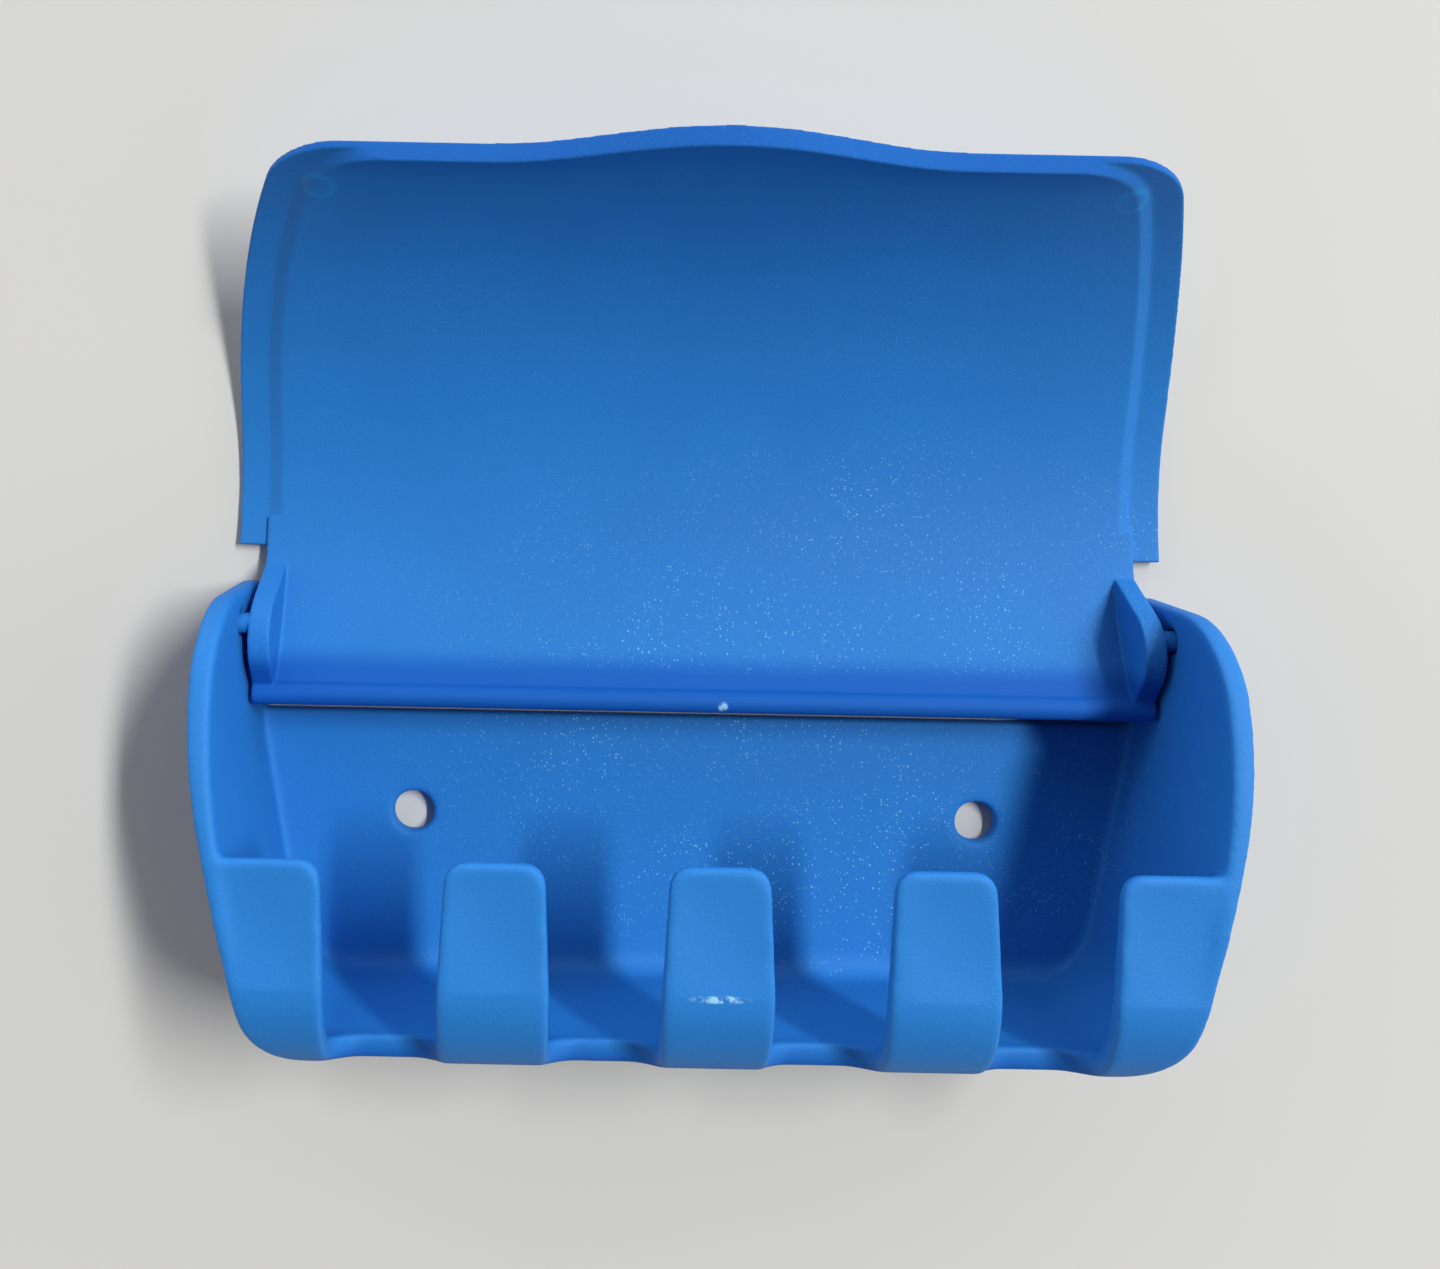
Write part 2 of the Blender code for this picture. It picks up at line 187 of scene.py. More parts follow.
class TraySizes(bpy.types.PropertyGroup):
    """Sizes of the tray: plate, cheeks, floor and fingers."""
    half_width: length("Half width", "Half the width over the cheeks", TRAY_HIGH.x)
    depth: length("Depth", "From the wall to the rims", TRAY_HIGH.z)
    floor_out: bpy.props.FloatProperty(name="Floor", description="Outer face of the floor",
                                       default=TRAY_LOW.y, unit="LENGTH")
    cheek_end: length("Cheek end", "Where the cheeks stop at the hinged end", TRAY_HIGH.y)
    plate_top: length("Plate top", "Top edge of the back plate", 12.9 * MM)
    cheek_wall: length("Cheek wall", "Thickness of a cheek", 2.7 * MM)
    plate_thickness: length("Plate thickness", "Thickness of the back plate", 2.2 * MM)
    floor_thickness: length("Floor thickness", "Thickness of the floor", 2.6 * MM)
    front_thickness: length("Finger thickness", "Thickness of the fingers", 2.4 * MM)
    bow_radius: length("Side bow", "Radius of the sides seen from the front", 75.0 * MM)
    bow_start: length("Bow start", "Height over the plate's top edge where the bow starts", 11.1 * MM)
    taper: angle("Taper", "Slope of the straight sides below the bow", 14.0)
    bow_ease: length("Inner bow ease", "How much flatter the bow is inside", 20.0 * MM)
    taper_ease: angle("Inner taper ease", "How much steeper the taper is inside", 3.2)
    floor_corner: length("Floor corner", "Radius of the two lower corners", 10.5 * MM)
    rim_radius: length("Rim radius", "Radius of the cheek rims seen from the side", 68.0 * MM)
    rim_crest: length("Rim crest", "Crest of the rims below the plate's top edge", 19.0 * MM)
    end_corner: length("End corner", "Radius of a cheek's end corner", 13.2 * MM)
    bend_start: length("Bend start", "Start of the bend below the plate's top edge", 23.0 * MM)
    hinge_slit: length("Hinge slit", "How far the plate stops short of its top line", 0.4 * MM)
    fillet: length("Inner fillet", "Round where the plate meets the floor", 2.5 * MM)
    hole_diameter: length("Screw hole", "Diameter of a screw hole", 5.0 * MM)
    hole_spacing: length("Hole spacing", "Distance between the screw holes", 70.0 * MM)
    socket_radius: length("Socket radius", "Radius of a hinge socket", 1.5 * MM)
    socket_depth: length("Socket depth", "Depth of a hinge socket in the cheek", 1.7 * MM)


class FingerSizes(bpy.types.PropertyGroup):
    """Sizes of the fingers and of the slots between them."""
    slots: bpy.props.IntProperty(name="Slots", description="Slots in the front", default=4,
                                 min=1, max=12)
    pitch: length("Pitch", "Distance between finger centres", 23.65 * MM)
    tip_width: length("Tip width", "Width of a finger at its tip", 10.8 * MM)
    root_width: length("Root width", "Width of a finger at the bend", 11.8 * MM)
    tip_drop: length("Tip drop", "Finger tips below the plate's top edge", 9.8 * MM)
    tip_radius: length("Tip radius", "Corner radius of a finger tip", 2.3 * MM)
    slot_depth: length("Slot depth", "Depth of a slot in the floor", 9.3 * MM)
    slot_round: length("Slot round", "Corner radius of a slot's bottom", 3.5 * MM)
    set_back: length("Set-back", "How far the finger tips lie below the cheek rims", 0.7 * MM)
    dish: length("Dish", "Depth of the shallow dish in a finger's face", 0.45 * MM)


class LidSizes(bpy.types.PropertyGroup):
    """Sizes of the arched lid with its hinge edge."""
    radius: length("Arch radius", "Outer radius of the arched sheet", 43.0 * MM)
    touch: length("Touch line", "Where the open lid meets the wall, over the plate's top edge", 27.0 * MM)
    thickness: length("Thickness", "Thickness of the sheet", 1.8 * MM)
    lip_thickness: length("Lip thickness", "Thickness of the sheet at the lip", 2.5 * MM)
    lip_swell: length("Lip swell", "Length over which the lip thickens", 5.0 * MM)
    band: length("Rim band", "Width of the thin side bands", 3.6 * MM)
    band_thickness: length("Band thickness", "Thickness of the side bands", 1.0 * MM)
    band_step: length("Band step", "Width of the slope between band and sheet", 1.6 * MM)
    notch: length("Notch", "Notch line over the plate's top edge", 19.7 * MM)
    bow_start: length("Bow start", "Arc length past the notch where the sides draw in", 18.0 * MM)
    bow_radius: length("Side bow", "Radius of the lid's sides", 81.0 * MM)
    corner: length("Lip corner", "Radius of the lip's corners", 6.0 * MM)
    wave_height: length("Thumb bump", "Height of the bump in the lip", 4.5 * MM)
    wave_width: length("Bump width", "Width of the bump in the lip", 52.0 * MM)
    wave_reach: length("Bump reach", "How far down the sheet the bump reaches", 16.0 * MM)
    side_play: length("Side play", "Gap between an ear and its cheek", 0.9 * MM)
    ear_thickness: length("Ear thickness", "Thickness of an ear", 2.6 * MM)
    ear_radius: length("Ear radius", "Radius of an ear's rounded top", 5.2 * MM)
    ear_above_pin: length("Ear above pin", "Top of an ear over its pin's axis", 1.8 * MM)
    ear_crest: length("Ear crest", "Crest of an ear below its pin's axis", 1.9 * MM)
    ear_start: length("Ear start", "Where the ear leaves the sheet, below the notch", 1.5 * MM)
    pin_radius: length("Pin radius", "Radius of a hinge pin", 1.2 * MM)
    pin_reach: length("Pin reach", "How far a pin reaches into its cheek", 1.4 * MM)
    bead_radius: length("Bead radius", "Radius of the bead along the hinge edge", 1.4 * MM)
    wall_clearance: length("Wall clearance", "Gap between the turning bead and the wall", 0.3 * MM)


class PlasticLook(bpy.types.PropertyGroup):
    """Colours and finish of the plastic."""
    blue: colour("Blue", "Colour of the plastic", (0.016, 0.194, 0.575, 1.0))
    # Edge blue: the paler edges are partly wear and partly a painted highlight; the ejector rings use it
    # too.
    edge_blue: colour("Edge blue", "Paler blue along worn edges", (0.020, 0.280, 0.680, 1.0))
    # Painted shade: the lip's outward face is darkened in colour by how it faces, standing in for shade.
    lip_painted_shade_blue: colour("Lip blue", "Deeper blue of the lid's lip", (0.002, 0.080, 0.360, 1.0))
    # Painted shade: the strip's deeper blue stands in for shade; its smoothness is the plastic's own.
    strip_painted_shade_blue: colour("Strip blue", "Blue of the smooth strip by the hinge", (0.002, 0.098, 0.430, 1.0))
    # Glint: a painted highlight colour for the bright specks in the grain.
    glint: colour("Glint", "Colour of the bright specks in the grain", (0.16, 0.44, 0.74, 1.0))
    scuff: colour("Scuff", "Colour of scratched plastic", (0.28, 0.58, 0.80, 1.0))
    roughness: bpy.props.FloatProperty(name="Roughness", description="Roughness of the plastic",
                                       default=0.62, min=0.0, max=1.0)
    grain: length("Grain", "Size of the moulded grain", 0.34 * MM)
    fineness: bpy.props.IntProperty(name="Fineness", default=9, min=6, max=9,
                                    description="Halvings of the piece's length to a facet")
    rounding: bpy.props.IntProperty(name="Rounding", description="How softly the edges are rounded",
                                    default=60, min=0, max=80)


class StudioLook(bpy.types.PropertyGroup):
    """Floor, sky and camera."""
    floor: colour("Floor", "Colour of the floor", (0.622, 0.628, 0.592, 1.0))
    sky_low: number("Low sky", "Light from the room's sides", 2.1)
    sky_slant: number("Sky slant", "How much more of it comes from the lid's end", 0.85)
    sky_top: number("Top sky", "Light from straight above", 0.03)
    camera_height: length("Camera height", "Height of the camera over the floor", 170.0 * MM)
    camera_x: bpy.props.FloatProperty(name="Camera X", description="Camera place across",
                                      default=-17.84 * MM, unit="LENGTH")
    camera_y: length("Camera Y", "Camera place up the wall", 52.18 * MM)
    turn: angle("Turn", "Turn of the camera about its axis", 1.15)
    focal_pixels: number("Focal length", "In pixels of the photograph", 1348.0)
    axis_x: number("Axis X", "Pixel column straight below the camera", 560.0)
    axis_y: number("Axis Y", "Pixel row straight below the camera", 395.0)


def arc(centre, radius, start, end, steps=ARC_STEPS):
    """Points on an arc, both ends included."""
    points = []
    for step in range(steps + 1):
        angle = start + (end - start) * step / steps
        points.append((centre[0] + radius * math.cos(angle), centre[1] + radius * math.sin(angle)))
    return points


def circle(centre, radius):
    """A round outline."""
    return arc(centre, radius, 0.0, 2 * math.pi, CIRCLE_STEPS)[:-1]


def link(name, data):
    """Put a mesh, a lamp or a camera in the scene as an object."""
    obj = bpy.data.objects.new(name, data)
    bpy.context.scene.collection.objects.link(obj)
    return obj


def prism(name, outlines, axis, low, high):
    """Closed prisms from flat outlines, drawn out along one axis."""
    places = {
        "X": lambda a, b, along: (along, a, b),
        "Y": lambda a, b, along: (a, along, b),
        "Z": lambda a, b, along: (a, b, along),
    }
    place = places[axis]
    bm = bmesh.new()
    for outline in outlines:
        bottom = [bm.verts.new(place(a, b, low)) for a, b in outline]
        top = [bm.verts.new(place(a, b, high)) for a, b in outline]
        bm.faces.new(bottom)
        bm.faces.new(top)
        for index, vertex in enumerate(bottom):
            after = (index + 1) % len(outline)
            bm.faces.new((vertex, bottom[after], top[after], top[index]))
    bmesh.ops.recalc_face_normals(bm, faces=bm.faces)
    mesh = bpy.data.meshes.new(name)
    bm.to_mesh(mesh)
    bm.free()
    return link(name, mesh)


def apply(obj):
    """Make the mesh that the object's modifiers give its own."""
    depsgraph = bpy.context.evaluated_depsgraph_get()
    mesh = bpy.data.meshes.new_from_object(obj.evaluated_get(depsgraph), depsgraph=depsgraph)
    mesh.name = obj.name
    obj.modifiers.clear()
    obj.data = mesh


def boolean(obj, other, operation):
    """Combine obj with other, and remove other."""
    modifier = obj.modifiers.new("cut", "BOOLEAN")
    modifier.operation = operation
    modifier.solver = "EXACT"
    modifier.object = other
    apply(obj)
    bpy.data.objects.remove(other, do_unlink=True)
    return obj


def mirrored(points):
    """The same outline on the other side of X = 0."""
    return [(-x, y) for x, y in reversed(points)]


def feed(tree, socket, value):
    """Give a socket a link or a plain value."""
    if isinstance(value, bpy.types.NodeSocket):
        tree.links.new(value, socket)
    else:
        socket.default_value = value


def math_node(tree, operation, *values):
    """A Math node on sockets or plain numbers; returns its output."""
    node = tree.nodes.new("ShaderNodeMath")
    node.operation = operation
    for socket, value in zip(node.inputs, values):
        feed(tree, socket, value)
    return node.outputs[0]


def split_vector(tree, vector):
    """The X, Y and Z of a vector as sockets, by name."""
    node = tree.nodes.new("ShaderNodeSeparateXYZ")
    tree.links.new(vector, node.inputs["Vector"])
    return node.outputs


def new_group(name, kind, inputs, outputs):
    """A node group with named sockets; returns the tree, its input node and output node."""
    tree = bpy.data.node_groups.new(name, kind)
    for in_out, sockets in (("INPUT", inputs), ("OUTPUT", outputs)):
        for label, socket_type in sockets:
            tree.interface.new_socket(label, in_out=in_out, socket_type="NodeSocket" + socket_type)
    return tree, tree.nodes.new("NodeGroupInput"), tree.nodes.new("NodeGroupOutput")


def set_inputs(modifier, values):
    """Give a Geometry Nodes modifier its values by the sockets' identifiers."""
    for item in modifier.node_group.interface.items_tree:
        if item.in_out == "INPUT" and item.name in values:
            modifier[item.identifier] = values[item.name]


def finish_tree(tree, geometry, output, material):
    """End a tree with Realize Instances and Set Material."""
    realize = tree.nodes.new("GeometryNodeRealizeInstances")
    paint = tree.nodes.new("GeometryNodeSetMaterial")
    tree.links.new(geometry, realize.inputs["Geometry"])
    tree.links.new(realize.outputs["Geometry"], paint.inputs["Geometry"])
    tree.links.new(material, paint.inputs["Material"])
    tree.links.new(paint.outputs["Geometry"], output.inputs["Geometry"])


def row_tree():
    """Geometry Nodes: copies of a shape in a centred row along X."""
    tree, group_in, group_out = new_group(
        "shapes_in_a_row", "GeometryNodeTree",
        (("Geometry", "Geometry"), ("Count", "Int"), ("Pitch", "Float"), ("Material", "Material")),
        (("Geometry", "Geometry"),))
    line = tree.nodes.new("GeometryNodeMeshLine")
    along = tree.nodes.new("ShaderNodeCombineXYZ")
    start = tree.nodes.new("ShaderNodeCombineXYZ")
    copies = tree.nodes.new("GeometryNodeInstanceOnPoints")
    gaps = math_node(tree, "SUBTRACT", group_in.outputs["Count"], 1.0)
    reach = math_node(tree, "MULTIPLY", gaps, group_in.outputs["Pitch"])
    first = math_node(tree, "MULTIPLY", reach, -0.5)
    tree.links.new(group_in.outputs["Count"], line.inputs["Count"])
    tree.links.new(group_in.outputs["Pitch"], along.inputs["X"])
    tree.links.new(first, start.inputs["X"])
    tree.links.new(start.outputs["Vector"], line.inputs["Start Location"])
    tree.links.new(along.outputs["Vector"], line.inputs["Offset"])
    tree.links.new(line.outputs["Mesh"], copies.inputs["Points"])
    tree.links.new(group_in.outputs["Geometry"], copies.inputs["Instance"])
    finish_tree(tree, copies.outputs["Instances"], group_out, group_in.outputs["Material"])
    return tree


def in_a_row(obj, count, pitch, material):
    """Repeat obj in a centred row along X with the row tree."""
    modifier = obj.modifiers.new("row", "NODES")
    modifier.node_group = bpy.data.node_groups.get("shapes_in_a_row") or row_tree()
    set_inputs(modifier, {"Count": count, "Pitch": pitch, "Material": material})
    apply(obj)
    return obj


def vectors(items, field):
    """A field of three numbers of every item, as an array."""
    flat = np.empty(len(items) * 3, np.float32)
    items.foreach_get(field, flat)
    return flat.reshape(-1, 3)


def keep_share(mesh, name, values):
    """Keep a number for every point of a mesh as a named attribute."""
    mesh.attributes.new(name, "FLOAT", "POINT").data.foreach_set("value", values)


def soften(obj, look, rounding):
    """Rebuild a closed shape in fine even facets and round its edges.

    The mesh keeps how far each point was drawn in, as the attribute edge.
    """
    remesh = obj.modifiers.new("facets", "REMESH")
    remesh.mode = "SHARP"
    remesh.octree_depth = look.fineness
    remesh.scale = FACET_FILL
    remesh.use_remove_disconnected = False
    remesh.use_smooth_shade = True
    apply(obj)
    before = vectors(obj.data.vertices, "co")
    smooth = obj.modifiers.new("rounding", "SMOOTH")
    smooth.factor = SMOOTH_FACTOR
    smooth.iterations = rounding
    apply(obj)
    drawn_in = before - vectors(obj.data.vertices, "co")
    inward = (drawn_in * vectors(obj.data.vertex_normals, "vector")).sum(axis=1)
    keep_share(obj.data, "edge", inward / (max(obj.dimensions) / 2 ** look.fineness))


# The lip attribute sets the lid's roughness there and a painted shade on the lip's end.
def mark_lip(mesh, lid, centre):
    """Keep how much a point faces out over the lip's end, as the attribute lip."""
    points = vectors(mesh.vertices, "co")
    normals = vectors(mesh.vertex_normals, "vector")
    outward = np.stack([points[:, 1] - centre, lid.radius - points[:, 2]], axis=1)
    outward /= np.linalg.norm(outward, axis=1, keepdims=True)
    facing = normals[:, 1] * outward[:, 1] + normals[:, 2] * outward[:, 0]
    keep_share(mesh, "lip", np.where(points[:, 1] > centre, np.clip(facing, 0.0, 1.0), 0.0))


def finish_piece(obj, material):
    """Drop facets where the shape is flat, down to the most a piece may have, and give the material."""
    count = sum(len(polygon.vertices) - 2 for polygon in obj.data.polygons)
    if count > MOST_TRIANGLES:
        decimate = obj.modifiers.new("thin", "DECIMATE")
        decimate.ratio = MOST_TRIANGLES / count
        apply(obj)
    for polygon in obj.data.polygons:
        polygon.use_smooth = True
    obj.data.materials.clear()
    obj.data.materials.append(material)


def plan_side(tray, inside):
    """The right half of the tray seen from the front: bow, straight taper, floor corner."""
    half = tray.half_width - (tray.cheek_wall if inside else 0.0)
    bow = tray.bow_radius + (tray.bow_ease if inside else 0.0)
    taper = tray.taper - (tray.taper_ease if inside else 0.0)
    wall = tray.floor_thickness if inside else 0.0
    corner = tray.floor_corner - wall
    side = arc((half - bow, tray.plate_top + tray.bow_start), bow, 0.0, -taper,
               LONG_ARC_STEPS)
    end_x, end_y = side[-1]
    corner_y = tray.floor_out + wall + corner
    fall = end_y + corner * math.sin(taper) - corner_y
    corner_x = end_x - fall * math.tan(taper) - corner * math.cos(taper)
    return side + arc((corner_x, corner_y), corner, -taper, -math.pi / 2)


def plan_outline(tray, inside):
    """The tray's outline seen from the front, its outer face or its inner one."""
    side = plan_side(tray, inside)
    right = [(side[0][0], tray.cheek_end + MARGIN)] + side
    return right + mirrored(right)


def side_outline(tray):
    """The tray's outer outline seen from the side, as (Y, Z)."""
    crest = tray.plate_top - tray.rim_crest
    rim_z = tray.depth - tray.rim_radius
    corner_y = tray.cheek_end - tray.end_corner
    reach = tray.rim_radius - tray.end_corner
    corner_z = rim_z + math.sqrt(reach ** 2 - (corner_y - crest) ** 2)
    meeting = math.atan2(corner_z - rim_z, corner_y - crest)
    bend = tray.plate_top - tray.bend_start
    radius = bend - tray.floor_out
    points = [(tray.cheek_end, 0.0)]
    points += arc((corner_y, corner_z), tray.end_corner, 0.0, meeting)
    points += arc((crest, rim_z), tray.rim_radius, meeting, math.pi / 2, LONG_ARC_STEPS)[1:]
    points += arc((bend, tray.depth - radius), radius, math.pi / 2, math.pi)
    points.append((tray.floor_out, 0.0))
    return points


def hollow_outline(tray, fingers):
    """What is open inside the cheeks, seen from the side, with a round where plate and floor meet.

    It runs round the inside of the hollow, round the finger tips, and back over
    the finger faces, which slope below the rims.
    """
    bend = tray.plate_top - tray.bend_start
    tips = tray.plate_top - fingers.tip_drop
    floor_in = tray.floor_out + tray.floor_thickness
    front_in = tray.depth - tray.front_thickness
    radius = bend - floor_in
    beyond = tray.cheek_end + MARGIN
    plate = tray.plate_thickness
    edge = tray.plate_top - tray.hinge_slit
    points = [(beyond, -MARGIN), (edge, -MARGIN), (edge, plate)]
    points += arc((floor_in + tray.fillet, plate + tray.fillet), tray.fillet, -math.pi / 2, -math.pi,
                  SMALL_ARC_STEPS)
    points += arc((bend, front_in - radius), radius, math.pi, math.pi / 2)
    points += [(tips, front_in), (tips, tray.depth - fingers.set_back)]
    points += [(bend, tray.depth), (bend, tray.depth + MARGIN), (beyond, tray.depth + MARGIN)]
    return points


def slot_cutter(tray, fingers):
    """One slot: it flares between the finger tips and ends in a rounded floor."""
    half_pitch = fingers.pitch / 2
    tip = half_pitch - fingers.tip_width / 2
    root = half_pitch - fingers.root_width / 2
    tips = tray.plate_top - fingers.tip_drop
    bend = tray.plate_top - tray.bend_start
    radius = fingers.tip_radius
    low = tray.floor_out - MARGIN
    bottom = tray.depth - fingers.slot_depth + fingers.slot_round
    right = [(tip + radius, tips + MARGIN)]
    right += arc((tip + radius, tips - radius), radius, math.pi / 2, math.pi)
    right += [(root, bend), (root, low)]
    plan = right + mirrored(right)
    cutter = prism("slot", [plan], "Z", bottom, tray.depth + MARGIN)
    profile = [(root, tray.depth)]
    profile += arc((root - fingers.slot_round, bottom), fingers.slot_round, 0.0, -math.pi / 2)
    profile += arc((fingers.slot_round - root, bottom), fingers.slot_round, -math.pi / 2, -math.pi)
    profile.append((-root, tray.depth))
    return boolean(cutter, prism("slot_floor", [profile], "Y", low, bend), "UNION")


def dish_fingers(mesh, tray, fingers):
    """Sink the middle of each finger's face a little."""
    points = vectors(mesh.vertices, "co")
    tips = tray.plate_top - fingers.tip_drop
    bend = tray.plate_top - tray.bend_start
    nearest = np.round(points[:, 0] / fingers.pitch) * fingers.pitch
    across = np.abs(points[:, 0] - nearest) / (fingers.tip_width / 2)
    along = (points[:, 1] - bend) / (tips - bend)
    across_share = np.clip(1.0 - across ** 2, 0.0, 1.0)
    along_share = np.clip(4.0 * along * (1.0 - along), 0.0, 1.0)
    on_face = points[:, 2] > tray.depth - tray.front_thickness / 2
    points[:, 2] -= np.where(on_face, fingers.dish * across_share * along_share, 0.0)
    mesh.vertices.foreach_set("co", points.ravel())
    mesh.update()


def label_of(name):
    """The words on a socket for a size of that name."""
    return name.replace("_", " ").capitalize()


def arched_tree():
    """Geometry Nodes: the lid's arched sheet with side bands, swollen lip and thumb bump."""
    inputs = [("Geometry", "Geometry"), ("Columns", "Int"), ("Rows", "Int"), ("Material", "Material")]
    inputs += [(label, "Float") for label in ("Half width", "Centre", "Start angle", "Length")]
    inputs += [(label_of(name), "Float") for name in SHEET_SIZES]
    tree, group_in, group_out = new_group("arched_sheet", "GeometryNodeTree", inputs,
                                          (("Geometry", "Geometry"),))
    size = group_in.outputs
    calc = partial(math_node, tree)

    def share_past(value, start, reach):
        """The share of a reach that a value has gone past its start."""
        return calc("MAXIMUM", calc("DIVIDE", calc("SUBTRACT", value, start), reach), 0.0)

    block = tree.nodes.new("GeometryNodeMeshCube")
    block.inputs["Size"].default_value = (2.0, 1.0, 1.0)
    block.inputs["Vertices Z"].default_value = 2
    tree.links.new(size["Columns"], block.inputs["Vertices X"])
    tree.links.new(size["Rows"], block.inputs["Vertices Y"])
    position = tree.nodes.new("GeometryNodeInputPosition")
    split = split_vector(tree, position.outputs["Position"])
    across_share = calc("ABSOLUTE", split["X"])
    side = calc("SIGN", split["X"])
    along_share = calc("ADD", split["Y"], 0.5)
    depth_share = calc("SUBTRACT", 0.5, split["Z"])

    turn = calc("MULTIPLY", share_past(along_share, 1.0 - LID_CORNER_SHARE, LID_CORNER_SHARE), math.pi / 2)
    straight = calc("SUBTRACT", size["Length"], size["Corner"])
    straight_share = calc("MINIMUM", calc("DIVIDE", along_share, 1.0 - LID_CORNER_SHARE), 1.0)
    round_along = calc("MULTIPLY", size["Corner"], calc("SINE", turn))
    along = calc("ADD", calc("MULTIPLY", straight_share, straight), round_along)

    past_bow = calc("MAXIMUM", calc("SUBTRACT", along, size["Bow start"]), 0.0)
    bow_fall = calc("DIVIDE", calc("MULTIPLY", past_bow, past_bow),
                    calc("MULTIPLY", size["Bow radius"], 2.0))
    corner_fall = calc("MULTIPLY", size["Corner"], calc("SUBTRACT", 1.0, calc("COSINE", turn)))
    half = calc("SUBTRACT", calc("SUBTRACT", size["Half width"], bow_fall), corner_fall)

    rim = calc("ADD", size["Band"], size["Band step"])
    middle_part = calc("MULTIPLY", calc("MINIMUM", calc("DIVIDE", across_share, LID_MIDDLE_SHARE), 1.0),
                       calc("SUBTRACT", half, rim))
    rim_share = share_past(across_share, LID_MIDDLE_SHARE, 1.0 - LID_MIDDLE_SHARE)
    distance = calc("ADD", middle_part, calc("MULTIPLY", rim_share, rim))

    swell = share_past(along, calc("SUBTRACT", size["Length"], size["Lip swell"]), size["Lip swell"])
    extra = calc("MULTIPLY", calc("SUBTRACT", size["Lip thickness"], size["Thickness"]),
                 calc("MULTIPLY", swell, swell))
    sheet = calc("ADD", size["Thickness"], extra)
    inside = share_past(calc("SUBTRACT", half, distance), size["Band"], size["Band step"])
    step = calc("MINIMUM", inside, 1.0)
    thickness = calc("ADD", size["Band thickness"],
                     calc("MULTIPLY", step, calc("SUBTRACT", sheet, size["Band thickness"])))

    half_wave = calc("DIVIDE", size["Wave width"], 2.0)
    wave_turn = calc("MULTIPLY", calc("DIVIDE", calc("MINIMUM", distance, half_wave), half_wave), math.pi)
    bump = calc("MULTIPLY_ADD", calc("COSINE", wave_turn), 0.5, 0.5)
    wave_start = calc("SUBTRACT", size["Length"], size["Wave reach"])
    wave_share = share_past(along, wave_start, size["Wave reach"])
    wave = calc("MULTIPLY", calc("MULTIPLY", size["Wave height"], bump),
                calc("MULTIPLY", wave_share, wave_share))

    turned = calc("ADD", size["Start angle"], calc("DIVIDE", calc("ADD", along, wave), size["Radius"]))
    radius = calc("SUBTRACT", size["Radius"], calc("MULTIPLY", depth_share, thickness))
    place = tree.nodes.new("ShaderNodeCombineXYZ")
    up_wall = calc("ADD", size["Centre"], calc("MULTIPLY", radius, calc("SINE", turned)))
    off_wall = calc("SUBTRACT", size["Radius"], calc("MULTIPLY", radius, calc("COSINE", turned)))
    tree.links.new(calc("MULTIPLY", side, distance), place.inputs["X"])
    tree.links.new(up_wall, place.inputs["Y"])
    tree.links.new(off_wall, place.inputs["Z"])
    move = tree.nodes.new("GeometryNodeSetPosition")
    tree.links.new(block.outputs["Mesh"], move.inputs["Geometry"])
    tree.links.new(place.outputs["Vector"], move.inputs["Position"])
    finish_tree(tree, move.outputs["Geometry"], group_out, size["Material"])
    return tree


def lid_numbers(tray, lid):
    """Angles and arc lengths that follow from the lid's sizes."""
    centre = tray.plate_top + lid.touch
    notch_angle = math.asin((lid.notch - lid.touch) / lid.radius)
    lip_angle = math.acos((lid.radius - tray.depth) / (lid.radius - lid.lip_thickness))
    sheet_length = (lip_angle - notch_angle) * lid.radius - lid.wave_height
    middle = lid.radius - lid.thickness / 2
    reach = HINGE.z - lid.wall_clearance - lid.bead_radius
    to_y = HINGE.y - centre
    to_z = HINGE.z - lid.radius
    distance = math.hypot(to_y, to_z)
    cosine = (distance ** 2 + middle ** 2 - reach ** 2) / (2 * distance * middle)
    hinge_angle = math.atan2(to_y, -to_z) - math.acos(cosine)
    return centre, notch_angle, sheet_length, hinge_angle


def on_arch(lid, centre, angle, depth):
    """A point of the arch seen from the side, as (Y, Z)."""
    radius = lid.radius - depth
    return (centre + radius * math.sin(angle), lid.radius - radius * math.cos(angle))


def tangent_angle(point, centre, radius, side):
    """Angle on a circle where the line from a point touches it."""
    towards = math.atan2(point[1] - centre[1], point[0] - centre[0])
    distance = math.hypot(point[0] - centre[0], point[1] - centre[1])
    return towards + side * math.acos(radius / distance)


def ear_outline(lid, centre, notch_angle, hinge_angle):
    """An ear seen from the side: a leaf from the notch over the pin to the bead."""
    top = (HINGE.y - lid.ear_crest, HINGE.z + lid.ear_above_pin - lid.ear_radius)
    middle = lid.thickness / 2
    start_angle = notch_angle - lid.ear_start / lid.radius
    start = on_arch(lid, centre, start_angle, middle)
    bead = on_arch(lid, centre, hinge_angle, middle)
    first = tangent_angle(start, top, lid.ear_radius, 1)
    last = tangent_angle(bead, top, lid.ear_radius, -1)
    if last < first:
        last += 2 * math.pi
    points = [start] + arc(top, lid.ear_radius, first, last)
    points += [on_arch(lid, centre, hinge_angle + (start_angle - hinge_angle) * step / ARC_STEPS, middle)
               for step in range(ARC_STEPS)]
    return points


def hinge_edge_outline(lid, centre, notch_angle, hinge_angle):
    """The narrow part of the sheet seen from the side, from the bead to past the notch."""
    end = notch_angle + lid.band / lid.radius
    angles = [hinge_angle + (end - hinge_angle) * step / HINGE_EDGE_STEPS
              for step in range(HINGE_EDGE_STEPS + 1)]
    outer = [on_arch(lid, centre, angle, 0.0) for angle in angles]
    inner = [on_arch(lid, centre, angle, lid.thickness) for angle in reversed(angles)]
    return outer + inner


def map_range(tree, value, source, target=(0.0, 1.0), smooth=False):
    """Map a value from one span to another, held at both ends; returns the result."""
    node = tree.nodes.new("ShaderNodeMapRange")
    if smooth:
        node.interpolation_type = "SMOOTHSTEP"
    labels = ("Value", "From Min", "From Max", "To Min", "To Max")
    for label, given in zip(labels, (value, *source, *target)):
        feed(tree, node.inputs[label], given)
    return node.outputs["Result"]


